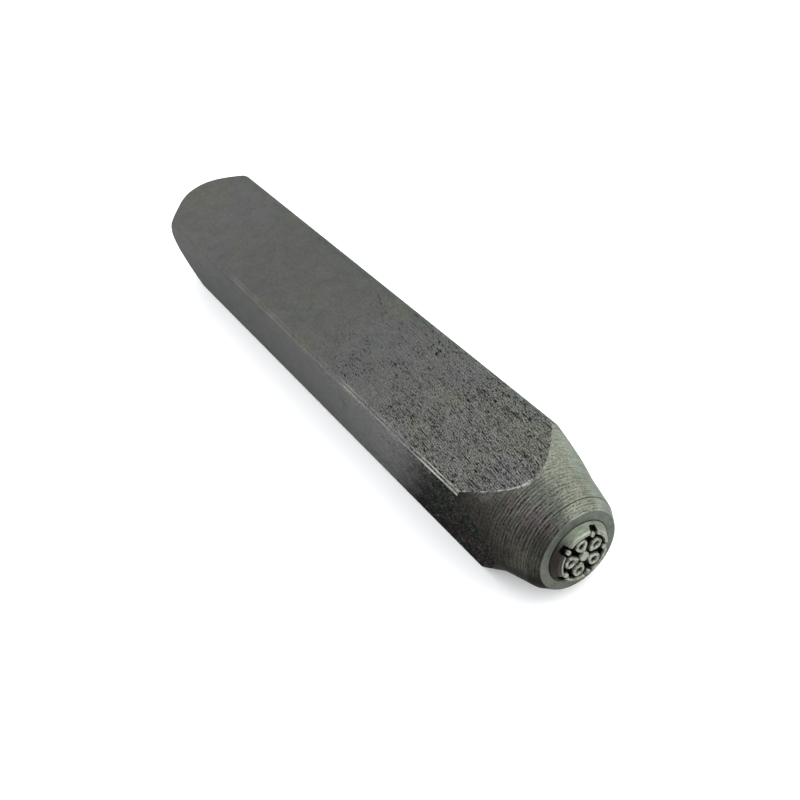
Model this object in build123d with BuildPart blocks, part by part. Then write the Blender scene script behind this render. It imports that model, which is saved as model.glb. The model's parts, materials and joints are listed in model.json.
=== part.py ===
"""Hand stamp for marking metal blanks: a square steel bar with two turned ends.

The bar lies on one of its flats along X. The struck end looks towards -X and the end
with the relief towards +X. The origin is under the middle of the bar, on the flat that
it rests on, and +Z is up. All sizes are in millimetres and degrees.
"""
from build123d import *
import os
from math import radians, tan

# Square bar
bar_side = 9.5  # across the flats
overall_length = 63.5  # from the striking face to the top of the relief
edge_break = 0.4  # chamfer on the four long edges

# Struck end: a flat face inside a turned cone
strike_face_dia = 7.3
strike_cone_angle = 31  # between the cone and the axis
strike_edge_round = 0.4

# Design end: shoulder cone, tapered neck, bevel and flat rim
rim_dia = 6.9  # outer edge of the flat rim round the boss
bevel_length = 0.9
neck_dia = 8.0  # where the bevel starts
neck_length = 3.1
neck_taper = 14.5  # between the neck and the axis
shoulder_angle = 29  # between the shoulder cone and the axis
blend_radius = 4.0  # from the neck into the shoulder cone

# Boss that carries the relief
boss_height = 0.75
boss_base_dia = 5.3
boss_face_dia = 4.3

# Relief: an open flower and buds inside a broken border
relief_depth = 0.5
border_width = 0.22
border_gap = 0.2  # between the border and the petals
petal_count = 5
petal_tip_dia = 1.0
petal_root_dia = 0.42
petal_rib = 0.24  # raised outline of a petal
hollow_root_dia = 0.2  # pointed end of the hollow inside a petal
heart_dia = 0.84
heart_gap = 0.12  # between the heart and the petals
bud_dia = 0.4
bud_gap = 0.18  # on each side of a bud, where the border is broken
bud_inset = 0.08  # from the edge of the boss

# Places along the axis, from the struck end to the design end
axis_height = bar_side / 2
strike_x = -overall_length / 2
design_x = overall_length / 2
rim_x = design_x - boss_height
neck_x = rim_x - bevel_length
shoulder_x = neck_x - neck_length

# Both cones are drawn out to this radius, which is past the corners of the bar.
reach = bar_side
strike_corner = (strike_x, strike_face_dia / 2)
strike_reach_x = strike_x + (reach - strike_face_dia / 2) / tan(radians(strike_cone_angle))
neck_corner = (shoulder_x, neck_dia / 2 + neck_length * tan(radians(neck_taper)))
shoulder_reach_x = shoulder_x - (reach - neck_corner[1]) / tan(radians(shoulder_angle))

# Places of the relief, from the middle of the boss outwards
petal_root_place = heart_dia / 2 + heart_gap + petal_root_dia / 2
border_radius = boss_face_dia / 2 - border_width
petal_tip_place = border_radius - border_gap - petal_tip_dia / 2
bud_place = boss_face_dia / 2 - bud_inset - bud_dia / 2
break_width = bud_dia + 2 * bud_gap
break_length = boss_base_dia - boss_face_dia + 2 * border_width
petal_start = 90  # the first petal points up
bud_start = petal_start + 180 / petal_count  # buds stand between the petals

bar_axis = Axis((0, 0, axis_height), (1, 0, 0))
strike_plane = Plane(origin=(strike_x, 0, axis_height), x_dir=(0, 1, 0), z_dir=(1, 0, 0))
design_plane = strike_plane.offset(overall_length)
profile_plane = Plane(origin=(0, 0, axis_height), x_dir=(1, 0, 0), z_dir=(0, -1, 0))

# One petal and the hollow inside it, drawn along the petal's own middle line
with BuildSketch() as petal:
    with Locations((petal_root_place, 0)):
        Circle(petal_root_dia / 2)
    with Locations((petal_tip_place, 0)):
        Circle(petal_tip_dia / 2)
    make_hull()

with BuildSketch() as petal_hollow:
    with Locations((petal_root_place + petal_rib, 0)):
        Circle(hollow_root_dia / 2)
    with Locations((petal_tip_place, 0)):
        Circle(petal_tip_dia / 2 - petal_rib)
    make_hull()

with BuildPart() as stamp:
    # The square bar, with its long edges broken
    with BuildSketch(strike_plane) as section:
        Rectangle(bar_side, bar_side)
        chamfer(section.vertices(), edge_break)
    extrude(amount=overall_length)

    # Both ends are turned. The bar keeps only what lies inside this profile, so each
    # flat runs out into the cones in a curved edge.
    with BuildSketch(profile_plane) as turned:
        with BuildLine():
            Polyline(
                (strike_x, 0),
                strike_corner,
                (strike_reach_x, reach),
                (shoulder_reach_x, reach),
                neck_corner,
                (neck_x, neck_dia / 2),
                (rim_x, rim_dia / 2),
                (rim_x, boss_base_dia / 2),
                (design_x, boss_face_dia / 2),
                (design_x, 0),
                close=True,
            )
        make_face()
        fillet(turned.vertices().sort_by_distance(strike_corner)[0], strike_edge_round)
        fillet(turned.vertices().sort_by_distance(neck_corner)[0], blend_radius)
    revolve(axis=bar_axis, mode=Mode.INTERSECT)

    # The ground of the relief is sunk round the flower, its heart and its buds, and
    # runs out through the breaks in the border.
    with BuildSketch(design_plane) as ground:
        Circle(border_radius)
        with PolarLocations(boss_face_dia / 2, petal_count, start_angle=bud_start):
            Rectangle(break_length, break_width)
        with PolarLocations(bud_place, petal_count, start_angle=bud_start):
            Circle(bud_dia / 2, mode=Mode.SUBTRACT)
        with PolarLocations(0, petal_count, start_angle=petal_start):
            add(petal.sketch, mode=Mode.SUBTRACT)
            add(petal_hollow.sketch)
        Circle(heart_dia / 2, mode=Mode.SUBTRACT)
    extrude(amount=-relief_depth, mode=Mode.SUBTRACT)

stamp.part.label = "stamp"

os.makedirs("parts", exist_ok=True)
export_step(stamp.part, "parts/stamp.step")
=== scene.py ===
"""Steel hand stamp lying on one of its flats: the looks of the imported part.

The bar lies along X with its design end towards +X. Sizes are given in millimetres and
turned into metres where a mesh or a lamp is placed.
"""

import json
import logging
import math
import random
from dataclasses import dataclass, field
from enum import Enum
from typing import Callable, Optional, Sequence, Union

import bmesh
import bpy
import numpy as np
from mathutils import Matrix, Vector

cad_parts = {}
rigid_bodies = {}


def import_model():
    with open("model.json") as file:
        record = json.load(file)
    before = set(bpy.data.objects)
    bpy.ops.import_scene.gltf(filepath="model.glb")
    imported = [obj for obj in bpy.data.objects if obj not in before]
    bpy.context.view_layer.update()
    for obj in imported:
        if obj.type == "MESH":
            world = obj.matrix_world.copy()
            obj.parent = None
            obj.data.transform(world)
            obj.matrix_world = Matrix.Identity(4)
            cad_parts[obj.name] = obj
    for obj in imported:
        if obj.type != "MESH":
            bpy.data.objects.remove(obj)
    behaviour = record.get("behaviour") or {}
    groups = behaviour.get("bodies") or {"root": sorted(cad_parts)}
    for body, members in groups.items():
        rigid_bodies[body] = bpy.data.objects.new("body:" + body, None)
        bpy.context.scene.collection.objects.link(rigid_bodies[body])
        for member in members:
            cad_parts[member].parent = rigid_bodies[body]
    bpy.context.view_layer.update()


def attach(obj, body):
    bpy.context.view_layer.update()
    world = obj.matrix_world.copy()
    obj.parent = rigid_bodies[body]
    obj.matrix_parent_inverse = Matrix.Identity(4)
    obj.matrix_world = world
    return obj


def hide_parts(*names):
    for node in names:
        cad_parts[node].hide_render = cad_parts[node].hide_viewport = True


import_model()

log = logging.getLogger("stamp")
MM = 0.001
CLOSE = 1e-6

Piece = bpy.types.Object
Material = bpy.types.Material
Socket = bpy.types.NodeSocket
Value = Union[float, Socket]
Feeds = Optional[dict[Union[int, str], object]]
Colour = tuple[float, float, float, float]
Place = tuple[float, float, float]
Point = tuple[float, float]
Outline = list[Point]


class Part(Enum):
    """What a selection in edit mode is made of."""

    VERTS = "VERT"
    EDGES = "EDGE"
    FACES = "FACE"


class Bench:
    """Small modelling steps that all pieces share."""

    @staticmethod
    def clear() -> None:
        """Leave edit mode and deselect every object."""
        if bpy.context.object and bpy.context.object.mode != "OBJECT":
            bpy.ops.object.mode_set(mode="OBJECT")
        bpy.ops.object.select_all(action="DESELECT")

    @staticmethod
    def take(piece: Piece) -> None:
        """Make one object the only selected and the active one.

        Args:
            piece: The object to work on.
        """
        Bench.clear()
        piece.select_set(True)
        bpy.context.view_layer.objects.active = piece

    @staticmethod
    def edit(piece: Piece, part: Part) -> None:
        """Go into edit mode on one object with nothing selected.

        Args:
            piece: The object to work on.
            part: What the next selection is made of.
        """
        Bench.take(piece)
        bpy.ops.object.mode_set(mode="EDIT")
        bpy.ops.mesh.select_mode(type=part.value)
        bpy.ops.mesh.select_all(action="DESELECT")

    @staticmethod
    def pick(piece: Piece, part: Part, test: Callable[..., bool]) -> int:
        """Select what passes a test, in edit mode.

        Args:
            piece: The object in edit mode.
            part: Vertices, edges or faces.
            test: Takes one of them and says whether it is selected.

        Returns:
            How many are selected.
        """
        bpy.ops.mesh.select_mode(type=part.value)
        bpy.ops.mesh.select_all(action="DESELECT")
        shell = bmesh.from_edit_mesh(piece.data)
        group = {Part.VERTS: shell.verts, Part.EDGES: shell.edges, Part.FACES: shell.faces}[part]
        found = [item for item in group if test(item)]
        for item in found:
            item.select_set(True)
        shell.select_flush_mode()
        bmesh.update_edit_mesh(piece.data)
        return len(found)

    @staticmethod
    def draw_line(name: str, points: Sequence[Place]) -> Piece:
        """Draw an open line by extruding one vertex from point to point.

        Args:
            name: Name of the new object.
            points: Points of the line, in metres.

        Returns:
            The object, still in edit mode with all of it selected.
        """
        Bench.clear()
        bpy.ops.mesh.primitive_plane_add(size=MM, location=points[0])
        line = bpy.context.object
        line.name = line.data.name = name
        bpy.ops.object.transform_apply(location=True, rotation=True, scale=True)
        bpy.ops.object.mode_set(mode="EDIT")
        bpy.ops.mesh.select_mode(type=Part.VERTS.value)
        bpy.ops.mesh.select_all(action="SELECT")
        bpy.ops.mesh.merge(type="CENTER")
        for last, new in zip(points, points[1:]):
            step = tuple(b - a for a, b in zip(last, new))
            bpy.ops.mesh.extrude_region_move(TRANSFORM_OT_translate={"value": step})
        bpy.ops.mesh.select_all(action="SELECT")
        return line

    @staticmethod
    def spin(steps: int, height: float) -> None:
        """Spin the selected line once round the bar's axis and close the seam.

        An eighth is spun, and then doubled three times.

        Args:
            steps: Number of steps in the full turn, a multiple of eight.
            height: Height of the axis over the floor, in metres.
        """
        centre = (0, 0, height)
        bpy.ops.mesh.spin(steps=steps // 8, angle=math.pi / 4, center=centre, axis=(1, 0, 0))
        for turn in (math.pi / 4, math.pi / 2, math.pi):
            bpy.ops.mesh.select_all(action="SELECT")
            bpy.ops.mesh.duplicate()
            bpy.ops.transform.rotate(value=turn, orient_axis="X", center_override=centre)
        bpy.ops.mesh.select_all(action="SELECT")
        bpy.ops.mesh.remove_doubles(threshold=CLOSE)
        bpy.ops.mesh.normals_make_consistent(inside=False)

    @staticmethod
    def triangles(piece: Piece) -> int:
        """Count the triangles of a piece."""
        return sum(len(face.vertices) - 2 for face in piece.data.polygons)


class Recipe:
    """One node material, with short calls for the nodes that the finishes share."""

    def __init__(self, name: str, height: float = 0.0) -> None:
        """Start a material and find the place on the piece, in millimetres from the bar's axis.

        Args:
            name: Name of the material.
            height: Height of the axis over the floor, in millimetres.
        """
        self.material = bpy.data.materials.new(name)
        self.material.use_nodes = True
        self.tree = self.material.node_tree
        self.shader = self.tree.nodes["Principled BSDF"]
        self.place = self.stretch(self.node("TexCoord").outputs["Object"], (1 / MM,) * 3, (0, 0, -height))
        self.x, self.y, self.z = self.split(self.place)

    def feed(self, socket: Socket, value: object) -> None:
        """Link a value to an input, or write it there if it is plain.

        Args:
            socket: The input.
            value: A socket, number, vector or colour.
        """
        if isinstance(value, Socket):
            self.tree.links.new(value, socket)
        else:
            socket.default_value = value

    def node(self, kind: str, feeds: Feeds = None, **settings: object) -> bpy.types.Node:
        """Add a node, set it and feed its inputs.

        Args:
            kind: Type of the node, without the word ShaderNode.
            feeds: What goes into each input, by the input's name or number.
            settings: The node's own settings by name.

        Returns:
            The node.
        """
        made = self.tree.nodes.new("ShaderNode" + kind)
        for key, value in settings.items():
            setattr(made, key, value)
        for key, value in (feeds or {}).items():
            self.feed(made.inputs[key], value)
        return made

    def sum(self, kind: str, a: Value, b: Value = 0.0, c: Value = 0.0, clamp: bool = False) -> Socket:
        """Reckon with one Math node, and keep the result between 0 and 1 if clamp says so."""
        return self.node("Math", {0: a, 1: b, 2: c}, operation=kind, use_clamp=clamp).outputs[0]

    def times(self, a: Value, b: Value, clamp: bool = False) -> Socket:
        """Multiply two values."""
        return self.sum("MULTIPLY", a, b, clamp=clamp)

    def plus(self, a: Value, b: Value) -> Socket:
        """Add two values."""
        return self.sum("ADD", a, b)

    def less(self, a: Value, b: Value, clamp: bool = False) -> Socket:
        """Take the second value from the first."""
        return self.sum("SUBTRACT", a, b, clamp=clamp)

    def scaled(self, a: Value, b: Value, c: Value, clamp: bool = False) -> Socket:
        """Multiply two values and add a third."""
        return self.sum("MULTIPLY_ADD", a, b, c, clamp)

    def most(self, a: Value, b: Value) -> Socket:
        """Give the larger of two values."""
        return self.sum("MAXIMUM", a, b)

    def radius(self) -> Socket:
        """Give the distance from the bar's axis."""
        return self.sum("SQRT", self.plus(self.times(self.y, self.y), self.times(self.z, self.z)))

    def ease(self, value: Value, low: Value, high: Value, out_low: float = 0.0,
             out_high: float = 1.0) -> Socket:
        """Turn the range from low to high smoothly into that from out_low to out_high."""
        feeds = {0: value, 1: low, 2: high, 3: out_low, 4: out_high}
        return self.node("MapRange", feeds, interpolation_type="SMOOTHSTEP").outputs[0]

    def stripe(self, value: Value, middle: float, inner: float, outer: Value, strong: float = 1.0) -> Socket:
        """Draw a soft line where a value is near a middle one."""
        return self.ease(self.sum("ABSOLUTE", self.less(value, middle)), inner, outer, strong, 0.0)

    def split(self, vector: Socket) -> list[Socket]:
        """Take a vector apart into its three values."""
        return list(self.node("SeparateXYZ", {0: vector}).outputs)

    def join(self, x: Value, y: Value, z: Value) -> Socket:
        """Put three values together as a vector."""
        return self.node("CombineXYZ", {0: x, 1: y, 2: z}).outputs[0]

    def stretch(self, vector: Socket, scale: Place, start: Place = (0, 0, 0)) -> Socket:
        """Stretch a vector and shift it afterwards."""
        return self.node("Mapping", {"Vector": vector, "Scale": scale, "Location": start}).outputs[0]

    def lay(self, size: Place, start: Place = (0, 0, 0), turn: float = 0.0, lean: float = 0.0) -> Socket:
        """Lay a pattern along a direction of its own.

        Args:
            size: Size of the pattern along each axis, in millimetres.
            start: Where the pattern starts.
            turn: Turn about the upright axis, clockwise from above, in degrees.
            lean: Turn about the axis across the bar, in degrees.

        Returns:
            The place in the pattern.
        """
        turned = (0, math.radians(lean), math.radians(-turn))
        feeds = {"Vector": self.place, "Scale": size, "Rotation": turned, "Location": start}
        return self.node("Mapping", feeds, vector_type="TEXTURE").outputs[0]

    def shift(self, vector: Socket, value: Socket, reach: float) -> Socket:
        """Push a vector about by a cloudy value near 0.5."""
        push = self.grey(self.times(self.less(value, 0.5), reach))
        return self.node("VectorMath", {0: vector, 1: push}, operation="ADD").outputs[0]

    def noise(self, vector: Socket, scale: float, detail: float = 2.0, rough: float = 0.5) -> Socket:
        """Add noise near 0.5, with its clouds per millimetre and the levels and strength of finer clouds."""
        feeds = {"Vector": vector, "Scale": scale, "Detail": detail, "Roughness": rough}
        return self.node("TexNoise", feeds).outputs[0]

    def clouds(self, scale: float, detail: float = 2.0, rough: float = 0.5, stretch: Place = (1, 1, 1),
               start: Place = (0, 0, 0)) -> Socket:
        """Add noise on the place, stretched, and started elsewhere."""
        return self.noise(self.stretch(self.place, stretch, start), scale, detail, rough)

    def fibres(self, size: Place, start: Place = (0, 0, 0), turn: float = 0.0, lean: float = 0.0,
               detail: float = 1.0, rough: float = 0.5) -> Socket:
        """Add noise laid along a direction, with clouds of a size in millimetres."""
        return self.noise(self.lay(size, start, turn, lean), 1.0, detail, rough)

    def cells(self, vector: Socket) -> tuple[Socket, Socket]:
        """Add scattered cells: the distance to the middle of a cell, and a colour drawn by lot for it."""
        made = self.node("TexVoronoi", {"Vector": vector, "Scale": 1.0})
        return made.outputs["Distance"], made.outputs["Color"]

    def blend(self, share: Value, a: object, b: object, how: str = "MIX") -> Socket:
        """Mix two colours by the share of the second."""
        return self.node("Mix", {0: share, 6: a, 7: b}, data_type="RGBA", blend_type=how).outputs[2]

    def grey(self, value: Socket) -> Socket:
        """Turn a value into a grey colour."""
        return self.join(value, value, value)

    def dim(self, tint: object, value: Socket) -> Socket:
        """Darken or lighten a colour by a factor."""
        return self.blend(1.0, tint, self.grey(value), "MULTIPLY")

    def bump(self, height: Socket, depth: float) -> None:
        """Raise the surface by a height from 0 to 1, times a depth in millimetres."""
        made = self.node("Bump", {"Strength": 1.0, "Distance": depth * MM, "Height": height})
        self.feed(self.shader.inputs["Normal"], made.outputs[0])

    def finish(self, colour: object, roughness: Value, metallic: Value, edge: float = 1.0) -> Material:
        """Feed the shader and give the material.

        Args:
            colour: Base colour.
            roughness: Roughness.
            metallic: Metallic value.
            edge: How bright the metal is when seen nearly edge on.

        Returns:
            The finished material.
        """
        for name, value in (("Base Color", colour), ("Roughness", roughness), ("Metallic", metallic),
                            ("Specular Tint", (edge, edge, edge, 1))):
            self.feed(self.shader.inputs[name], value)
        return self.material


@dataclass(frozen=True)
class StampSizes:
    """Sizes of the stamp in millimetres and degrees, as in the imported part."""

    side: float = 9.5
    length: float = 63.5
    edge_break: float = 0.4
    strike_face_radius: float = 3.65
    strike_cone: float = 31.0
    strike_round: float = 0.4
    rim_radius: float = 3.45
    bevel_length: float = 0.9
    neck_radius: float = 4.0
    neck_length: float = 3.1
    neck_taper: float = 14.5
    shoulder_cone: float = 29.0
    neck_blend: float = 4.0
    boss_height: float = 0.75
    boss_foot_radius: float = 2.65
    boss_face_radius: float = 2.15

    @property
    def axis(self) -> float:
        """Height of the bar's axis over the floor."""
        return self.side / 2

    @property
    def strike_x(self) -> float:
        """Place of the struck face."""
        return -self.length / 2

    @property
    def design_x(self) -> float:
        """Place of the top of the relief."""
        return self.length / 2

    @property
    def rim_x(self) -> float:
        """Place of the flat rim round the boss."""
        return self.design_x - self.boss_height

    @property
    def neck_x(self) -> float:
        """Place where the bevel starts."""
        return self.rim_x - self.bevel_length

    @property
    def shoulder_x(self) -> float:
        """Place where the neck meets the shoulder cone."""
        return self.neck_x - self.neck_length

    @property
    def shoulder_radius(self) -> float:
        """Radius where the neck meets the shoulder cone."""
        return self.neck_radius + self.neck_length * math.tan(math.radians(self.neck_taper))


@dataclass(frozen=True)
class Pits:
    """One lot of pits: size of the cells that they lie in, how many, how they lie."""

    length: float
    width: float
    share: float
    reach: float
    turn: float = 0.0
    broken: bool = False


@dataclass(frozen=True)
class GroundSteel:
    """Ground flats of the bar: grain and pits along it, tints of the oxidised skin, painted shade on the low
    side towards the design end, painted highlights along the worn edges.
    """

    sizes: StampSizes
    comb: float = 0.18
    edge_glow: float = 0.43
    grey: Colour = (0.094, 0.0948, 0.0905, 1)
    warm: Colour = (0.0966, 0.0966, 0.0835, 1)
    cool: Colour = (0.0931, 0.0922, 0.094, 1)
    green: Colour = (0.0835, 0.0948, 0.0835, 1)
    # painted light: a lighter copy of the grey for the low side
    side: Colour = (0.117, 0.117, 0.118, 1)
    pit: Colour = (0.0035, 0.0035, 0.003, 1)
    # colours of the painted shade on the low side at the design end, mottled with lighter flecks
    painted_shade_dark: Colour = (0.004, 0.0075, 0.0055, 1)
    plum_shade: Colour = (0.008, 0.0045, 0.006, 1)
    painted_shade_fleck: Colour = (0.048, 0.048, 0.042, 1)
    # pale metal of the specks and scratches, also the colour of the painted edge highlights
    bare_and_highlight: Colour = (0.5394, 0.5394, 0.4959, 1)
    pit_lots: tuple[Pits, ...] = (
        Pits(0.52, 0.102, 0.46, 0.40, 11.0),
        Pits(0.30, 0.090, 0.52, 0.42, 9.0),
        Pits(3.60, 0.116, 0.56, 0.36, 0.0, True),
        Pits(2.20, 0.100, 0.40, 0.38, 4.0, True),
        Pits(0.30, 0.180, 0.06, 0.28, 12.0),
    )

    def tints(self, r: Recipe, low_side: Socket) -> Socket:
        """Lay the soft tints of the oxidised skin over the grey, with painted light on the low side, and the
        flats lighter towards the design end.

        Args:
            r: The material.
            low_side: 1 on the flat at the low side.

        Returns:
            The tinted colour.
        """
        wide = (0.6, 1, 1)
        tint = r.blend(r.ease(r.clouds(0.34, 4.0, 0.65, wide), 0.44, 0.64), self.grey, self.warm)
        cool = r.ease(r.clouds(0.30, 4.0, 0.65, wide, (31, 7, 3)), 0.48, 0.68, 0.0, 0.8)
        tint = r.blend(cool, tint, self.cool)
        # painted light: the low side gets a lighter copy of the grey, darker towards the struck end
        tint = r.blend(r.times(low_side, 0.85), tint, self.side)
        tint = r.dim(tint, r.ease(r.scaled(low_side, -34.0, r.x), -64.0, -28.0, 0.84, 1.07))
        patch = r.ease(r.clouds(0.42, 3.0, 0.6, wide, (5, 43, 9)), 0.60, 0.72)
        rim = r.times(r.ease(r.y, 3.3, 4.6), r.ease(r.noise(r.place, 0.5, 3.0), 0.35, 0.65))
        rim = r.times(rim, r.ease(r.z, 4.3, 4.6))
        tint = r.blend(r.most(patch, rim), tint, self.green)
        tone = r.ease(r.noise(r.place, 0.8, 5.0, 0.68), 0.28, 0.72, 0.93, 1.07)
        tone = r.times(tone, r.ease(r.x, -24.0, -9.0, 1.02, 0.90))
        return r.dim(tint, r.times(tone, r.ease(r.x, -4.0, 24.0, 1.0, 1.21)))

    def pits(self, r: Recipe, share: Socket) -> tuple[Socket, Socket]:
        """Scatter the pits.

        Args:
            r: The material.
            share: How many of the pits are there, from 0 to 1.

        Returns:
            Depth of the pits and strength of the painted highlight on the raised rims round them, from 0 to
            1.
        """
        holes: Value = 0.0
        rims: Value = 0.0
        bent = r.noise(r.place, 0.9)
        dashes = r.ease(r.clouds(1.0, 1.0, 0.6, (2.1, 4.2, 4.2), (4, 4, 4)), 0.45, 0.52)
        least = r.scaled(share, 0.30, 0.04, clamp=True)
        for number, lot in enumerate(self.pit_lots):
            start = (number * 9.3 + 5.2, number * 0.7, 0.4)
            spot = r.lay((lot.length, lot.width, lot.width), start, lot.turn)
            away, lottery = r.cells(r.shift(spot, bent, 0.0 if lot.broken else 0.35))
            draw, girth, strength = r.split(lottery)
            there = r.sum("LESS_THAN", draw, r.times(share, lot.share))
            reach = r.sum("DIVIDE", away, r.scaled(girth, lot.reach, lot.reach * 0.6))
            hole = r.times(r.less(1.0, reach, clamp=True), 3.2, clamp=True)
            hole = r.times(hole, r.scaled(strength, 0.9, least, clamp=True))
            if lot.broken:
                hole = r.times(hole, dashes)
            else:
                rims = r.most(rims, r.times(r.ease(reach, 1.0, 1.5, 1.0, 0.0), there))
            holes = r.most(holes, r.times(hole, there))
        return holes, rims

    @staticmethod
    def worms(r: Recipe, low_side: Socket) -> Socket:
        """Draw the short crooked cracks in the middle of the top.

        Args:
            r: The material.
            low_side: 1 on the flat at the low side.

        Returns:
            Cracks from 0 to 1.
        """
        crack = r.stripe(r.fibres((0.85, 0.42, 0.42), (2, 6, 3), 10.0), 0.5, 0.004, 0.03)
        some = r.ease(r.fibres((0.8, 0.5, 0.5), (8, 1, 5), 10.0, detail=2.0, rough=0.6), 0.46, 0.56)
        patch = r.ease(r.clouds(0.42, 2.0, 0.6, (0.8, 1, 1), (6, 3, 1)), 0.40, 0.54)
        zone = r.times(r.ease(r.x, -3.0, 6.0), r.ease(r.x, 14.0, 21.0, 1.0, 0.25))
        zone = r.times(r.times(zone, patch), r.scaled(low_side, -0.8, 1.0))
        return r.times(r.times(crack, some), r.times(zone, 0.75))

    @staticmethod
    def scratches(r: Recipe, lean: float) -> Socket:
        """Draw thin broken scratches across the low side, at an angle to the bar in degrees."""
        line = r.stripe(r.fibres((2.6, 1.0, 0.4), lean=lean, rough=0.4), 0.5, 0.0, 0.014)
        return r.times(line, r.ease(r.clouds(1.6, start=(lean, 2, 2)), 0.45, 0.65))

    def edge_highlights(self, r: Recipe, low_side: Socket) -> Socket:
        """Paint highlights along the broken edges and along the lip where the flats meet the turned cone.

        Args:
            r: The material.
            low_side: 1 on the flat at the low side.

        Returns:
            Painted highlight from 0 to 1.
        """
        s = self.sizes
        a, b = r.sum("ABSOLUTE", r.y), r.sum("ABSOLUTE", r.z)
        edge_sum = 2 * s.axis - s.edge_break
        edge = r.ease(r.plus(a, b), edge_sum - 0.08, edge_sum - 0.03)
        inner, wide = r.less(s.axis, a), r.ease(r.x, 4.0, 12.0, 0.13, 0.065)
        low, high = r.stripe(inner, 0.17, 0.015, wide), r.stripe(inner, 0.38, 0.015, wide)
        line = r.times(r.most(low, r.times(high, 0.9)), edge)
        flat = (1.0, 0.3, 0.3)
        line = r.times(line, r.ease(r.clouds(0.22, 1.0, 0.5, flat, (7, 7, 2)), 0.38, 0.60, 0.35, 1.0))
        line = r.times(line, r.ease(r.clouds(0.55, 5.0, 0.72, flat, (2, 2, 2)), 0.34, 0.64, 0.30, 1.0))
        strong = r.most(r.ease(r.x, -21.0, -7.0, 0.03, 0.10), r.ease(r.x, 3.0, 15.0, 0.0, 0.72))
        line = r.times(r.times(line, strong), r.ease(r.y, -1.0, 3.0, 1.0, 0.12))
        slope = math.tan(math.radians(s.shoulder_cone))
        cone = r.scaled(r.less(s.shoulder_x, r.x), slope, s.shoulder_radius)
        lip = r.ease(r.less(cone, r.radius()), 0.01, 0.09, 1.0, 0.0)
        lip = r.times(lip, r.ease(r.noise(r.place, 2.4, 3.0, 0.75), 0.45, 0.60))
        lip = r.times(r.times(lip, r.less(1.0, low_side)), r.ease(r.y, -1.5, 2.2, 1.0, 0.12))
        return r.most(line, r.times(lip, 0.5))

    def make(self) -> Material:
        """Build the material.

        Returns:
            The finished material.
        """
        r = Recipe("ground_steel", self.sizes.axis)
        low_side = r.ease(r.y, -4.64, -4.56, 1.0, 0.0)
        near = r.ease(r.scaled(r.noise(r.place, 0.34, 3.0), 10.0, r.x), 1.0, 28.0)
        cluster = r.ease(r.clouds(0.42, 3.0, 0.6, (0.7, 1, 1), (3, 8, 1)), 0.40, 0.60, 0.06, 1.0)
        cluster = r.most(cluster, r.ease(near, 0.45, 1.0, 0.0, 0.75))
        share = r.times(r.less(r.times(near, cluster), 0.08), r.scaled(low_side, -0.75, 1.20))
        tint = self.tints(r, low_side)

        # painted shade on the low side towards the design end, mottled dark with lighter flecks, with faint
        # scratches and bare specks
        ragged = r.scaled(r.noise(r.place, 0.9, 6.0, 0.75), 6.0, r.scaled(r.z, -0.7, r.x))
        scale = r.times(r.ease(ragged, 14.5, 22.0), low_side)
        flake = r.fibres((0.22, 0.14, 0.13), (9, 9, 2), lean=25.0, detail=2.0, rough=0.7)
        mottled = r.ease(r.scaled(r.z, 0.012, flake), 0.55, 0.70)
        cloud = r.ease(r.clouds(0.45, 2.0, 0.6, start=(4, 4, 9)), 0.42, 0.58)
        tint = r.blend(scale, tint, r.blend(mottled, r.blend(cloud, self.painted_shade_dark, self.plum_shade), self.painted_shade_fleck))
        scratches = r.times(r.most(self.scratches(r, 34.0), self.scratches(r, -48.0)), scale)
        sparks = r.ease(r.fibres((0.17, 0.10, 0.10), (7, 1, 2), lean=-20.0, rough=0.6), 0.60, 0.74)
        sparks = r.times(sparks, r.times(low_side, r.ease(r.x, 4.0, 20.0, 0.0, 0.17)))
        tint = r.blend(sparks, tint, self.bare_and_highlight)

        # grain along the bar, soft behind and finer and stronger towards the design end
        sway = r.fibres((1.1, 0.5, 0.5), (5, 5, 5), 8.0, detail=2.0)
        comb = r.scaled(r.x, 0.14, r.plus(r.y, r.z))
        comb = r.sum("SINE", r.scaled(comb, math.tau / self.comb, r.times(sway, 14.0)))
        comb = r.times(comb, r.ease(r.fibres((0.45, 0.2, 0.2), (1, 4, 7), 8.0), 0.35, 0.65))
        streak = r.less(r.fibres((2.2, 0.075, 0.075), turn=3.0, rough=0.6), 0.5)
        fine = r.less(r.fibres((0.17, 0.06, 0.06), (3, 1, 8), 12.0, detail=0.0), 0.5)
        soft = r.less(r.fibres((0.5, 0.22, 0.22), (6, 2, 1), 5.0), 0.5)
        grain = r.scaled(fine, 2.6, r.scaled(streak, 0.8, r.times(comb, 0.50)))
        shade = r.scaled(grain, r.scaled(near, 0.86, 0.13), 1.0)
        shade = r.scaled(soft, r.ease(near, 0.2, 0.6, 0.34, 0.0), shade)
        tint = r.dim(tint, r.most(shade, 0.2))

        # pits with painted highlights on their raised rims, cracks, scratches and painted highlights along
        # the worn edges
        holes, rims = self.pits(r, share)
        holes = r.most(holes, self.worms(r, low_side))
        # painted highlight: the rims round the pits are painted lighter
        tint = r.blend(holes, r.dim(tint, r.scaled(rims, 0.22, 0.98)), self.pit)
        tint = r.blend(r.times(scratches, 0.15), tint, self.bare_and_highlight)
        # painted highlights along the edges, in the pale metal colour
        worn = self.edge_highlights(r, low_side)
        tint = r.blend(worn, tint, self.bare_and_highlight)

        rise = r.times(low_side, r.ease(near, 0.1, 0.9, 0.3, 1.8))
        rise = r.times(r.ease(near, 0.0, 1.0, 0.12, 0.5), r.plus(rise, 1.0))
        relief = r.less(r.times(r.plus(streak, fine), rise), holes)
        relief = r.plus(relief, r.times(r.times(flake, scale), 0.5))
        r.bump(r.scaled(scratches, 0.12, r.plus(relief, 1.0)), 0.03)
        rough = r.scaled(worn, -0.1, r.ease(cluster, 0.2, 1.0, 0.52, 0.58))
        r.shader.inputs["Specular IOR Level"].default_value = 0.0
        return r.finish(tint, r.scaled(holes, 0.2, rough), r.scaled(scale, -0.5, 1.0), self.edge_glow)


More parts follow.
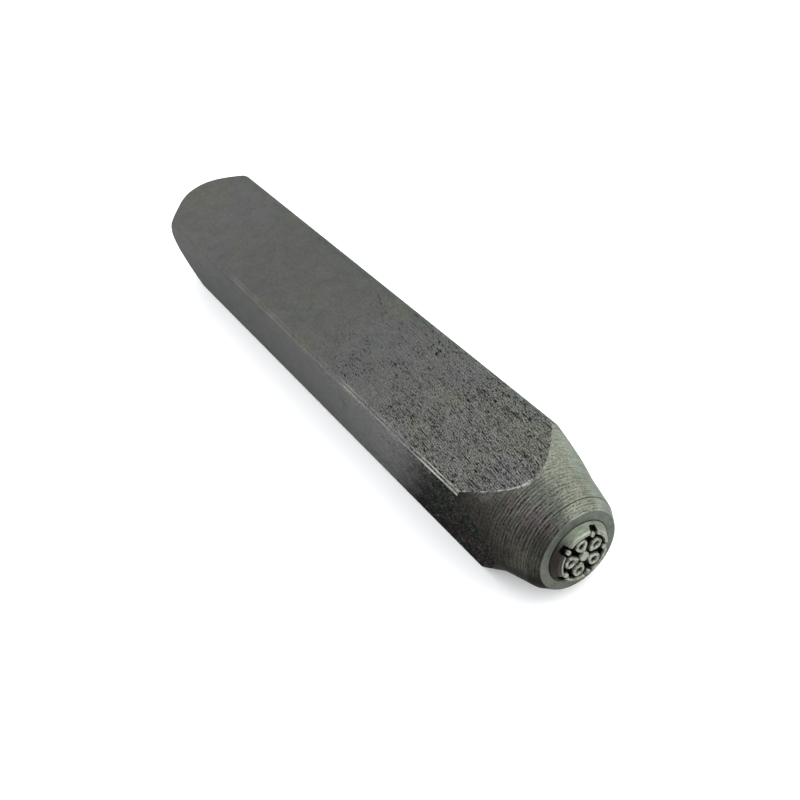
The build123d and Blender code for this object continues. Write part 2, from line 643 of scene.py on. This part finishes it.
@dataclass(frozen=True)
class TurnedSteel:
    """Turned ends: feed marks round the axis, with painted shade, warmer and darker, on the low side and
    painted light on the far side.
    """

    sizes: StampSizes
    feed: float = 0.315
    even: float = -0.14
    edge_glow: float = 0.5
    # tones of the painted light and shade round the axis, from pale on the far side to dark on the low side;
    # light, middle and pale also colour the struck face
    pale: Colour = (0.176, 0.195, 0.163, 1)
    light: Colour = (0.119, 0.126, 0.102, 1)
    middle: Colour = (0.0745, 0.078, 0.066, 1)
    dark: Colour = (0.037, 0.036, 0.0315, 1)
    low: Colour = (0.050, 0.0495, 0.0405, 1)
    # painted shade: a plum band on the low side, and a darker colour low down on the low side
    plum_shade: Colour = (0.064, 0.0545, 0.0545, 1)
    under_shade_colour: Colour = (0.0174, 0.0165, 0.0148, 1)
    rim: Colour = (0.1061, 0.1148, 0.0992, 1)
    # painted shade in the groove and round the boss's foot
    groove: Colour = (0.0104, 0.0096, 0.0087, 1)
    # pale metal, the colour of the painted highlight on the lip
    bare_and_highlight: Colour = (0.3915, 0.3915, 0.348, 1)

    def tones(self, r: Recipe, side: Socket, wander: Socket) -> Socket:
        """Paint light and shade round the axis: dark on the low side to pale on the far side, with a plum
        band of painted shade, painted shade low down and behind the shoulder on the low side, and a bevel
        painted darker on the low side.

        Args:
            r: The material.
            side: From -1 on the low side to 1 on the far side.
            wander: The same with a wavering edge.

        Returns:
            The tinted colour.
        """
        s = self.sizes
        tint: object = self.low
        # painted light and shade by the side: dark on the low side, pale on the far side
        for start, end, colour in ((-0.97, -0.84, self.dark), (-0.64, -0.28, self.middle),
                                   (-0.04, 0.24, self.light), (0.58, 0.84, self.pale)):
            tint = r.blend(r.ease(wander, start, end), tint, colour)
        # painted shade: a plum band on the low side
        plum_shade_band = r.times(r.ease(side, -0.74, -0.48), r.ease(side, -0.44, -0.12, 1.0, 0.0))
        plum_shade_band = r.times(r.ease(r.noise(r.place, 0.55, 3.0, 0.6), 0.42, 0.58, 0.15, 0.9), plum_shade_band)
        tint = r.blend(plum_shade_band, tint, self.plum_shade)
        # painted shade low down and behind the shoulder on the low side
        under = r.times(r.ease(r.z, -0.6, 1.2, 0.92, 0.0), r.ease(side, -0.9, -0.5, 1.0, 0.0))
        back = r.scaled(r.less(s.shoulder_x + 1.0, r.x), 0.085, r.times(wander, -1.0))
        under = r.most(under, r.ease(back, 0.72, 1.15))
        tint = r.blend(r.times(under, r.sum("GREATER_THAN", r.x, 0.0)), tint, self.under_shade_colour)
        # painted shade: the bevel darker on the low side
        bevel_shade = r.times(r.ease(r.x, s.neck_x, s.neck_x + 0.1), r.ease(side, -0.50, 0.40, 0.32, 0.0))
        return r.dim(tint, r.less(1.0, bevel_shade))

    def trims(self, r: Recipe, side: Socket, tint: Socket) -> Socket:
        """Lay the even rim, the dark lines and the bare lip over the tones.

        Args:
            r: The material.
            side: From -1 on the low side to 1 on the far side.
            Lay the even rim, the painted shade in the groove and round the boss's foot, and the painted
            highlight on the lip over the tones.

        Returns:
            The tinted colour.
        """
        s, radius = self.sizes, r.radius()
        flat = r.ease(radius, s.rim_radius - 0.05, s.rim_radius, 1.0, 0.0)
        flat = r.times(r.sum("GREATER_THAN", r.x, s.rim_x - 0.012), flat)
        even = r.dim(self.rim, r.ease(r.noise(r.place, 2.2, 4.0, 0.6), 0.3, 0.7, 0.85, 1.15))
        tint = r.blend(flat, tint, even)
        # painted shade in the groove where the bevel starts and in the corner round the boss's foot
        line = r.times(r.stripe(r.x, s.neck_x, 0.01, 0.055), r.ease(side, -0.5, 0.3, 0.3, 0.85))
        foot = r.ease(radius, s.boss_foot_radius, s.boss_foot_radius + 0.09, 0.9, 0.0)
        foot = r.times(foot, r.sum("GREATER_THAN", r.x, s.rim_x - 0.05))
        tint = r.blend(r.most(line, foot), tint, self.groove)
        # painted highlight on the lip where the turned end meets the flats, stronger towards the low side
        outer = r.most(r.sum("ABSOLUTE", r.y), r.sum("ABSOLUTE", r.z))
        lip = r.ease(r.noise(r.place, 2.4, 3.0, 0.75), 0.45, 0.6)
        lip = r.times(r.ease(outer, s.axis - 0.045, s.axis - 0.005), lip)
        lip = r.times(r.times(lip, r.ease(r.y, -4.70, -4.4)), r.ease(r.y, -1.5, 2.0, 0.6, 0.05))
        return r.blend(lip, tint, self.bare_and_highlight)

    def make(self) -> Material:
        """Build the material.

        Returns:
            The finished material.
        """
        r = Recipe("turned_steel", self.sizes.axis)
        s, radius = self.sizes, r.radius()
        along = r.less(r.sum("ABSOLUTE", r.x), radius)
        side = r.less(r.sum("DIVIDE", r.y, r.most(radius, 0.2)), self.even)
        side = r.scaled(r.sum("GREATER_THAN", r.x, 0.0), side, self.even)
        wander = r.scaled(r.less(r.noise(r.place, 0.6, 3.0), 0.5), 0.6, side)
        tint = self.tones(r, side, wander)

        # feed marks, strongest low on the neck and hardly there on the shoulder
        track = r.join(along, r.times(r.y, 0.06), r.times(r.z, 0.06))
        drift = r.times(r.clouds(1.0, stretch=(0.8, 1.4, 1.4)), 3.0)
        drift = r.plus(r.times(r.noise(track, 2.4, 2.0, 0.6), 8.0), drift)
        wave = r.sum("SINE", r.scaled(along, math.tau / self.feed, drift))
        broken = r.ease(r.clouds(1.0, 2.0, 0.6, (3.4, 1.5, 1.5), (2, 30, 5)), 0.36, 0.62, 0.2, 1.0)
        strong = r.times(r.ease(side, -0.98, -0.60, 0.45, 1.0), r.ease(side, -0.36, 0.0, 1.0, 0.42))
        strong = r.times(strong, r.ease(side, 0.3, 0.85, 1.0, 0.3))
        zone = r.ease(r.x, s.shoulder_x - 0.8, s.shoulder_x + 0.5, 0.2, 1.0)
        zone = r.plus(zone, r.ease(r.x, -1.0, 0.0, 0.25, 0.0))
        struck = r.ease(r.x, s.strike_x + 0.01, s.strike_x + 0.14, 1.0, 0.0)
        zone = r.times(zone, r.scaled(struck, -0.8, 1.0))
        lines = r.times(r.times(wave, broken), r.times(strong, zone))
        fine = r.less(r.noise(r.stretch(track, (1, 1, 1), (11, 3, 5)), 9.0, 1.0, 0.7), 0.5)
        speck = r.less(r.clouds(1.0, 2.0, 0.7, (9, 5.5, 5.5)), 0.5)
        shade = r.scaled(lines, 0.75, r.scaled(fine, 1.1, 1.0))
        shade = r.scaled(speck, r.ease(side, 0.4, 0.85, 2.6, 1.3), shade)
        tint = r.dim(tint, r.most(shade, 0.15))

        # the struck face is dented and has a rubbed edge
        dents = r.noise(r.place, 1.3)
        peened = r.blend(r.ease(dents, 0.36, 0.66, 0.15, 0.75), self.light, self.middle)
        peened = r.dim(peened, r.ease(r.noise(r.place, 5.0, 3.0, 0.7), 0.3, 0.7, 0.85, 1.15))
        rubbed = r.stripe(radius, s.strike_face_radius - 0.12, 0.04, 0.26, 0.8)
        rubbed = r.times(rubbed, r.ease(r.noise(r.place, 1.1, 4.0, 0.7), 0.42, 0.60, 0.15, 1.0))
        tint = r.blend(struck, tint, r.blend(rubbed, peened, self.pale))
        tint = self.trims(r, side, tint)

        relief = r.scaled(lines, 0.25, r.scaled(fine, 0.5, r.times(speck, 0.5)))
        r.bump(r.scaled(r.times(dents, struck), 7.0, relief), 0.02)
        return r.finish(tint, r.ease(wander, -0.5, 0.8, 0.52, 0.46), 1.0, self.edge_glow)


@dataclass(frozen=True)
class CutSteel:
    """The boss: clean worn tops, painted shade in the pockets and at the wall's foot, and a wall like the
    turned neck, painted dark on the low side and light on the upper side.
    """

    sizes: StampSizes
    top: Colour = (0.2349, 0.2523, 0.2044, 1)
    dull: Colour = (0.1001, 0.1027, 0.0853, 1)
    # painted shade in the pockets and at the foot of the wall
    pocket_shade: Colour = (0.0052, 0.0048, 0.0043, 1)
    # painted shade and painted light on the wall
    wall_shaded: Colour = (0.0313, 0.027, 0.0244, 1)
    wall_lit: Colour = (0.1827, 0.2044, 0.161, 1)

    def make(self) -> Material:
        """Build the material.

        Returns:
            The finished material.
        """
        r = Recipe("cut_steel", self.sizes.axis)
        s, radius = self.sizes, r.radius()
        deep = r.less(s.design_x, r.x)
        slope = (s.boss_foot_radius - s.boss_face_radius) / s.boss_height
        wall = r.ease(r.less(radius, r.scaled(deep, slope, s.boss_face_radius)), -0.09, -0.02)
        top = r.blend(r.ease(r.noise(r.place, 3.0, 3.0, 0.6), 0.42, 0.66), self.top, self.dull)
        # painted shade: the deeper parts of the relief turn near black
        depth = r.scaled(r.less(r.noise(r.place, 4.0, 3.0, 0.65), 0.5), 0.25, deep)
        face = r.blend(r.ease(depth, 0.07, 0.28), top, self.pocket_shade)
        # painted light and shade on the wall, by the way it faces
        side = r.sum("DIVIDE", r.scaled(r.z, 0.75, r.y), radius)
        wall_shading = r.blend(r.ease(side, -0.15, 0.85), self.wall_shaded, self.wall_lit)
        rings = r.noise(r.join(r.x, r.times(r.y, 0.08), r.times(r.z, 0.08)), 16.0, 2.0, 0.6)
        wall_shading = r.dim(wall_shading, r.ease(rings, 0.3, 0.7, 0.75, 1.25))
        # painted shade at the foot of the wall
        foot = r.ease(deep, s.boss_height - 0.1, s.boss_height - 0.01, 0.0, 0.9)
        tint = r.blend(wall, face, r.blend(foot, wall_shading, self.pocket_shade))
        r.bump(r.noise(r.place, 7.0, 4.0, 0.7), 0.03)
        return r.finish(tint, r.ease(depth, 0.05, 0.3, 0.38, 0.75), 1.0)


@dataclass(frozen=True)
class PaleFloor:
    """Matte white card under the stamp."""

    white: Colour = (0.95, 0.95, 0.95, 1)
    shaded: Colour = (0.94, 0.94, 0.94, 1)

    def make(self) -> Material:
        """Build the material.

        Returns:
            The finished material.
        """
        r = Recipe("pale_card")
        fleck = r.ease(r.noise(r.place, 0.05), 0.3, 0.7)
        return r.finish(r.blend(fleck, self.white, self.shaded), 0.8, 0.0)


@dataclass
class FlowerRelief:
    """Open flower with a heart, buds between its petals and a broken border, in millimetres."""

    depth: float = 0.5
    border_radius: float = 1.93
    petal_count: int = 5
    petal_root_place: float = 0.75
    petal_root_radius: float = 0.21
    petal_tip_place: float = 1.23
    petal_tip_radius: float = 0.5
    petal_rib: float = 0.24
    hollow_root_radius: float = 0.1
    heart_radius: float = 0.42
    bud_place: float = 1.87
    bud_radius: float = 0.2
    break_place: float = 2.15
    break_width: float = 0.76
    break_length: float = 1.44
    draft: float = 0.1
    soft: float = 0.03
    waver: float = 0.018
    floor_waver: float = 0.025
    top_waver: float = 0.006
    waves: int = 14
    seed: int = 11

    def uneven(self, y: np.ndarray, z: np.ndarray, size: float, number: int) -> np.ndarray:
        """Give soft seeded unevenness.

        Args:
            y: Places across.
            z: Places up.
            size: Usual size of a bump.
            number: Which pattern.

        Returns:
            Values from about -1 to 1.
        """
        lot = random.Random(self.seed * 100 + number)
        total = np.zeros_like(y)
        for _ in range(self.waves):
            turn, phase = lot.uniform(0, math.tau), lot.uniform(0, math.tau)
            pitch = math.tau / (size * lot.uniform(0.7, 1.8))
            total += np.sin((y * math.cos(turn) + z * math.sin(turn)) * pitch + phase)
        return total / 5.0

    @staticmethod
    def drop(across: np.ndarray, out: np.ndarray, root: float, tip: float, run: float) -> np.ndarray:
        """Give the distance to a drop shape between two circles.

        Args:
            across: Distance from its middle line.
            out: Distance along it from the root circle's middle.
            root: Radius of the root circle.
            tip: Radius of the tip circle.
            run: Distance between the circles' middles.

        Returns:
            The distance, negative inside.
        """
        side = np.abs(across)
        lean = (root - tip) / run
        up = math.sqrt(1 - lean * lean)
        reach = -lean * side + up * out
        body = up * side + lean * out - root
        return np.where(reach < 0, np.hypot(side, out) - root,
                        np.where(reach > up * run, np.hypot(side, out - run) - tip, body))

    @staticmethod
    def turned(y: np.ndarray, z: np.ndarray, turn: float) -> tuple[np.ndarray, np.ndarray]:
        """Give the distances along and across a direction from the axis."""
        return y * math.cos(turn) + z * math.sin(turn), z * math.cos(turn) - y * math.sin(turn)

    def distance(self, y: np.ndarray, z: np.ndarray) -> np.ndarray:
        """Give the distance to the raised shapes.

        Args:
            y: Places across.
            z: Places up, from the axis.

        Returns:
            The distance, negative on the raised shapes.
        """
        radius = np.hypot(y, z)
        raised = radius - self.heart_radius
        gaps = np.full_like(y, np.inf)
        rib_start, rib_tip = self.petal_root_place + self.petal_rib, self.petal_tip_radius - self.petal_rib
        for number in range(self.petal_count):
            turn = math.radians(90 + 360 / self.petal_count * number)
            out, across = self.turned(y, z, turn)
            petal = self.drop(across, out - self.petal_root_place, self.petal_root_radius,
                              self.petal_tip_radius, self.petal_tip_place - self.petal_root_place)
            hollow = self.drop(across, out - rib_start, self.hollow_root_radius, rib_tip,
                               self.petal_tip_place - rib_start)
            raised = np.minimum(raised, np.maximum(petal, -hollow))
            out, across = self.turned(y, z, turn + math.radians(180 / self.petal_count))
            raised = np.minimum(raised, np.hypot(out - self.bud_place, across) - self.bud_radius)
            gap = np.maximum(np.abs(out - self.break_place) - self.break_length / 2,
                             np.abs(across) - self.break_width / 2)
            gaps = np.minimum(gaps, gap)
        border = np.maximum(self.border_radius - radius, -gaps)
        return np.minimum(raised, border)

    def height(self, y: np.ndarray, z: np.ndarray, sizes: StampSizes) -> np.ndarray:
        """Give the height over the rim.

        Args:
            y: Places across.
            z: Places up, from the axis.
            sizes: Sizes of the stamp.

        Returns:
            Heights in millimetres.
        """
        radius = np.hypot(y, z)
        wide_y = y + self.waver * self.uneven(y, z, 0.5, 1)
        wide_z = z + self.waver * self.uneven(y, z, 0.5, 2)
        away = self.distance(wide_y, wide_z)
        t = np.clip((away + self.soft) / (self.draft + self.soft), 0, 1)
        sunk = t * t * (3 - 2 * t)
        floor = self.depth + self.floor_waver * self.uneven(y, z, 0.22, 3)
        worn = self.top_waver + self.top_waver * self.uneven(y, z, 0.35, 4)
        top = sizes.boss_height - worn - sunk * floor
        top = np.minimum(top, sizes.boss_height)
        run = sizes.boss_foot_radius - sizes.boss_face_radius
        wall = sizes.boss_height * (sizes.boss_foot_radius - radius) / run
        meet = np.clip(0.5 + 0.5 * (wall - top) / self.soft, 0, 1)
        low = wall * (1 - meet) + top * meet - self.soft * meet * (1 - meet)
        return np.clip(low, 0, sizes.boss_height)


@dataclass
class StampBody:
    """The square bar with both ends turned, down to the flat rim round the boss."""

    sizes: StampSizes
    steps: int = 360
    reach: float = 7.3
    feed: float = 0.085
    face_pitch: float = 0.22
    cone_pitch: float = 0.15
    bevel_pitch: float = 0.08
    rim_pitch: float = 0.12
    soft_edge: float = 0.035
    groove_reach: float = 0.035
    mark_depth: float = 0.006
    bevel_mark_depth: float = 0.007
    spare: float = 4.0
    foot_play: float = 0.02
    smooth_angle: float = 24.0
    seed: int = 5

    def marks(self, points: Outline, deep: float) -> Outline:
        """Cut feed marks of uneven depth into a run of points.

        Args:
            points: Places along the axis and radii.
            deep: Depth of the deepest marks, in millimetres.

        Returns:
            The same points, moved in.
        """
        lot = random.Random(self.seed)
        out, pull = [], 0.0
        for number, (x, radius) in enumerate(points):
            pull = 0.45 * pull + lot.random() ** 3 * (1.0 if number % 3 else 0.55)
            out.append((x, radius - deep * min(pull, 1.0)))
        return out

    def run(self, start: Point, end: Point, pitch: float) -> Outline:
        """Divide a straight run of the profile by a pitch, and leave its last point out."""
        count = max(1, round(math.dist(start, end) / pitch))
        return [(start[0] + (end[0] - start[0]) * n / count, start[1] + (end[1] - start[1]) * n / count)
                for n in range(count)]

    def bend(self, before: Point, corner: Point, after: Point, radius: float, count: int) -> Outline:
        """Round a corner of the profile.

        Args:
            before: A point on the run before it.
            corner: The sharp corner.
            after: A point on the run after it.
            radius: Radius of the round.
            count: Number of points.

        Returns:
            Points of the arc, its ends among them.
        """
        a, b = (Vector(before) - Vector(corner)).normalized(), (Vector(after) - Vector(corner)).normalized()
        half = a.angle(b) / 2
        middle = Vector(corner) + (a + b).normalized() * radius / math.sin(half)
        first = Vector(corner) + a * radius / math.tan(half) - middle
        last = Vector(corner) + b * radius / math.tan(half) - middle
        sweep = first.angle_signed(last)
        points = []
        for n in range(count + 1):
            turn = -sweep * n / count
            arm = Vector((first.x * math.cos(turn) - first.y * math.sin(turn),
                          first.x * math.sin(turn) + first.y * math.cos(turn)))
            points.append(tuple(middle + arm))
        return points

    def cone_end(self, start: Point, angle: float, way: int) -> Point:
        """Give the point where a cone of an angle leaves the bar, way being 1 or -1 along the axis."""
        return start[0] + way * (self.reach - start[1]) / math.tan(math.radians(angle)), self.reach

    def profile(self) -> Outline:
        """Give the turned outline from the struck face to the boss's foot.

        Returns:
            Places along the axis and radii, in millimetres.
        """
        s = self.sizes
        strike_edge = (s.strike_x, s.strike_face_radius)
        strike_out = self.cone_end(strike_edge, s.strike_cone, 1)
        corner = (s.shoulder_x, s.shoulder_radius)
        shoulder_out = self.cone_end(corner, s.shoulder_cone, -1)
        neck_end = (s.neck_x, s.neck_radius)
        struck_round = self.bend((s.strike_x, 0.0), strike_edge, strike_out, s.strike_round, 6)
        neck_round = self.bend(shoulder_out, corner, neck_end, s.neck_blend, 12)
        face = self.run((s.strike_x, 0.0), struck_round[0], self.face_pitch)
        cone = self.marks(self.run(struck_round[-1], strike_out, self.cone_pitch)[1:], self.mark_depth)
        shoulder = self.run(shoulder_out, neck_round[0], self.feed)[1:]
        neck = self.run(neck_round[-1], neck_end, self.feed)[1:-1]
        turned = self.marks(shoulder + neck_round + neck, self.mark_depth)
        reach = self.groove_reach
        groove = [(s.neck_x - reach, s.neck_radius + 0.005), (s.neck_x, s.neck_radius - reach),
                  (s.neck_x + reach, s.neck_radius - 0.022)]
        bevel_start = (s.neck_x + 0.1, s.neck_radius - 0.061)
        bevel_end = (s.rim_x - 0.04, s.rim_radius + 0.024)
        bevel = self.marks(self.run(bevel_start, bevel_end, self.bevel_pitch), self.bevel_mark_depth)
        edge = [(s.rim_x - 0.03, s.rim_radius + 0.008), (s.rim_x - 0.004, s.rim_radius - 0.012),
                (s.rim_x, s.rim_radius - 0.04)]
        inner = self.run(edge[-1], (s.rim_x, s.boss_foot_radius), self.rim_pitch)[1:]
        return (face + struck_round + cone + [strike_out, shoulder_out] + turned + groove + bevel
                + edge + inner + [(s.rim_x, s.boss_foot_radius), (s.rim_x, 0.0)])

    def bar(self) -> Piece:
        """Model the square bar with its long edges broken.

        Returns:
            The bar, longer than the stamp at both ends.
        """
        s = self.sizes
        Bench.clear()
        bpy.ops.mesh.primitive_cube_add(size=1, location=(0, 0, s.axis * MM),
                                        scale=((s.length + self.spare) * MM, s.side * MM, s.side * MM))
        bar = bpy.context.object
        bar.name = bar.data.name = "stamp_steel"
        bpy.ops.object.transform_apply(location=True, rotation=True, scale=True)
        Bench.edit(bar, Part.EDGES)

        def is_long(edge: bmesh.types.BMEdge) -> bool:
            """Say whether an edge runs along the bar."""
            return abs(edge.verts[0].co.x - edge.verts[1].co.x) > s.side * MM

        for width, segments in ((s.edge_break, 1), (self.soft_edge, 2)):
            Bench.pick(bar, Part.EDGES, is_long)
            bpy.ops.mesh.bevel(offset_type="OFFSET", offset=width * MM, segments=segments, affect="EDGES")
        bpy.ops.object.mode_set(mode="OBJECT")
        return bar

    def envelope(self) -> Piece:
        """Spin the turned outline round the axis.

        Returns:
            The closed turned form.
        """
        s = self.sizes
        line = Bench.draw_line("turned_form", [(x * MM, 0.0, (s.axis + r) * MM) for x, r in self.profile()])
        Bench.spin(self.steps, s.axis * MM)
        bpy.ops.object.mode_set(mode="OBJECT")
        return line

    def build(self) -> Piece:
        """Cut the bar by the turned form and open it where the boss stands.

        Returns:
            The body.
        """
        s = self.sizes
        bar, form = self.bar(), self.envelope()
        Bench.take(bar)
        cut = bar.modifiers.new("turn_ends", "BOOLEAN")
        cut.operation, cut.solver, cut.object = "INTERSECT", "EXACT", form
        bpy.ops.object.modifier_apply(modifier="turn_ends")
        bpy.data.objects.remove(form)
        Bench.edit(bar, Part.FACES)
        rim_middle = Vector((s.rim_x, 0.0, s.axis)) * MM
        cap_radius = (s.boss_foot_radius - self.foot_play) * MM

        def is_cap(face: bmesh.types.BMFace) -> bool:
            """Say whether a face lies on the rim, inside the boss's foot."""
            away = face.calc_center_median() - rim_middle
            return abs(away.x) < CLOSE and math.hypot(away.y, away.z) < cap_radius

        Bench.pick(bar, Part.FACES, is_cap)
        bpy.ops.mesh.delete(type="FACE")
        bpy.ops.object.mode_set(mode="OBJECT")
        bpy.ops.object.shade_smooth_by_angle(angle=math.radians(self.smooth_angle))
        log.info("body: %d triangles", Bench.triangles(bar))
        return bar


@dataclass
class ReliefBoss:
    """The tapered boss with the flower cut into its end."""

    sizes: StampSizes
    relief: FlowerRelief = field(default_factory=FlowerRelief)
    steps: int = 360
    rings: int = 90
    smooth_angle: float = 50.0

    def build(self) -> Piece:
        """Spin a disc of fine rings and raise it to the relief.

        Returns:
            The boss, open at its foot.
        """
        s = self.sizes
        reach = [s.boss_foot_radius * (1 - n / self.rings) for n in range(self.rings + 1)]
        boss = Bench.draw_line("relief_boss", [(s.rim_x * MM, 0.0, (s.axis + r) * MM) for r in reach])
        Bench.spin(self.steps, s.axis * MM)
        bpy.ops.object.mode_set(mode="OBJECT")
        places = np.empty(len(boss.data.vertices) * 3)
        boss.data.vertices.foreach_get("co", places)
        places = places.reshape(-1, 3)
        lift = self.relief.height(places[:, 1] / MM, places[:, 2] / MM - s.axis, s)
        places[:, 0] = (s.rim_x + lift) * MM
        boss.data.vertices.foreach_set("co", places.ravel())
        boss.data.update()
        Bench.edit(boss, Part.FACES)
        bpy.ops.mesh.select_all(action="SELECT")
        bpy.ops.mesh.normals_make_consistent(inside=False)
        shell = bmesh.from_edit_mesh(boss.data)
        if sum(face.normal.x for face in shell.faces) < 0:
            bpy.ops.mesh.flip_normals()
        bpy.ops.object.mode_set(mode="OBJECT")
        bpy.ops.object.shade_smooth_by_angle(angle=math.radians(self.smooth_angle))
        log.info("boss: %d triangles", Bench.triangles(boss))
        return boss


@dataclass
class Stamp:
    """The whole stamp, one piece of steel."""

    sizes: StampSizes = field(default_factory=StampSizes)
    turned_slope: float = 0.05

    def build(self) -> Piece:
        """Join the body and the boss, dress them and put them on the frame.

        Returns:
            The stamp.
        """
        body, boss = StampBody(self.sizes).build(), ReliefBoss(self.sizes).build()
        for finish in (GroundSteel(self.sizes), TurnedSteel(self.sizes)):
            body.data.materials.append(finish.make())
        boss.data.materials.append(CutSteel(self.sizes).make())
        Bench.edit(body, Part.FACES)
        Bench.pick(body, Part.FACES, lambda face: abs(face.normal.x) > self.turned_slope)
        body.active_material_index = 1
        bpy.ops.object.material_slot_assign()
        Bench.take(boss)
        body.select_set(True)
        bpy.context.view_layer.objects.active = body
        bpy.ops.object.join()
        Bench.edit(body, Part.VERTS)
        bpy.ops.mesh.select_all(action="SELECT")
        bpy.ops.mesh.remove_doubles(threshold=CLOSE / 2)
        shell = bmesh.from_edit_mesh(body.data)
        open_edges = sum(1 for edge in shell.edges if len(edge.link_faces) != 2)
        bpy.ops.object.mode_set(mode="OBJECT")
        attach(body, "root")
        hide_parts("stamp")
        log.info("stamp: %d triangles, %d open edges", Bench.triangles(body), open_edges)
        return body


@dataclass(frozen=True)
class Lamp:
    """One soft lamp, in millimetres."""

    name: str
    place: Place
    aim: Place
    width: float
    height: float
    power: float

    def build(self) -> None:
        """Hang the lamp and turn it to its aim."""
        Bench.clear()
        bpy.ops.object.light_add(type="AREA", location=tuple(v * MM for v in self.place))
        lamp = bpy.context.object
        lamp.name = lamp.data.name = self.name
        lamp.data.shape = "RECTANGLE"
        lamp.data.size, lamp.data.size_y = self.width * MM, self.height * MM
        lamp.data.energy = self.power
        lamp.rotation_euler = (Vector(self.aim) - Vector(self.place)).to_track_quat("-Z", "Y").to_euler()


@dataclass
class Studio:
    """Pale floor, soft lamps, dim room and the camera."""

    camera_place: Place = (73.459, -22.711, 71.021)
    camera_turn: Place = (43.9429, 15.3046, 55.9722)
    lens: float = 50.48
    sensor: float = 36.0
    clip: Point = (0.002, 20.0)
    floor_side: float = 4000.0
    room: float = 1.63
    room_tint: Colour = (0.98, 0.99, 1.0, 1)
    lamps: tuple[Lamp, ...] = (
        Lamp("front_panel", (240, 190, 340), (10, 0, 5), 420, 320, 0.98),
        Lamp("far_panel", (-30, 330, 110), (15, 0, 5), 360, 160, 0.28),
    )

    def camera(self) -> None:
        """Set up the camera at the photograph's angle."""
        Bench.clear()
        bpy.ops.object.camera_add(location=tuple(v * MM for v in self.camera_place),
                                  rotation=tuple(math.radians(v) for v in self.camera_turn))
        camera = bpy.context.object
        camera.name = camera.data.name = "studio_camera"
        camera.data.lens, camera.data.sensor_width = self.lens, self.sensor
        camera.data.clip_start, camera.data.clip_end = self.clip
        bpy.context.scene.camera = camera

    def floor(self) -> None:
        """Lay the floor."""
        Bench.clear()
        bpy.ops.mesh.primitive_plane_add(size=self.floor_side * MM, location=(0, 0, -0.00001))
        floor = bpy.context.object
        floor.name = floor.data.name = "pale_floor"
        bpy.ops.object.transform_apply(location=True, rotation=True, scale=True)
        floor.data.materials.append(PaleFloor().make())

    def light(self) -> None:
        """Hang the lamps and set the room's dim light."""
        for lamp in self.lamps:
            lamp.build()
        world = bpy.data.worlds.new("studio_room")
        world.use_nodes = True
        inputs = world.node_tree.nodes["Background"].inputs
        inputs["Color"].default_value, inputs["Strength"].default_value = self.room_tint, self.room
        bpy.context.scene.world = world
        bpy.context.scene.view_settings.view_transform = "Standard"

    def build(self) -> None:
        """Set up the whole studio."""
        self.camera()
        self.floor()
        self.light()
        log.info("studio: camera, floor and %d lamps", len(self.lamps))


def main() -> None:
    """Build the stamp and the studio."""
    logging.basicConfig(level=logging.INFO, format="%(name)s %(relativeCreated)d ms: %(message)s")
    Studio().build()
    Stamp().build()


if __name__ == "__main__":
    main()
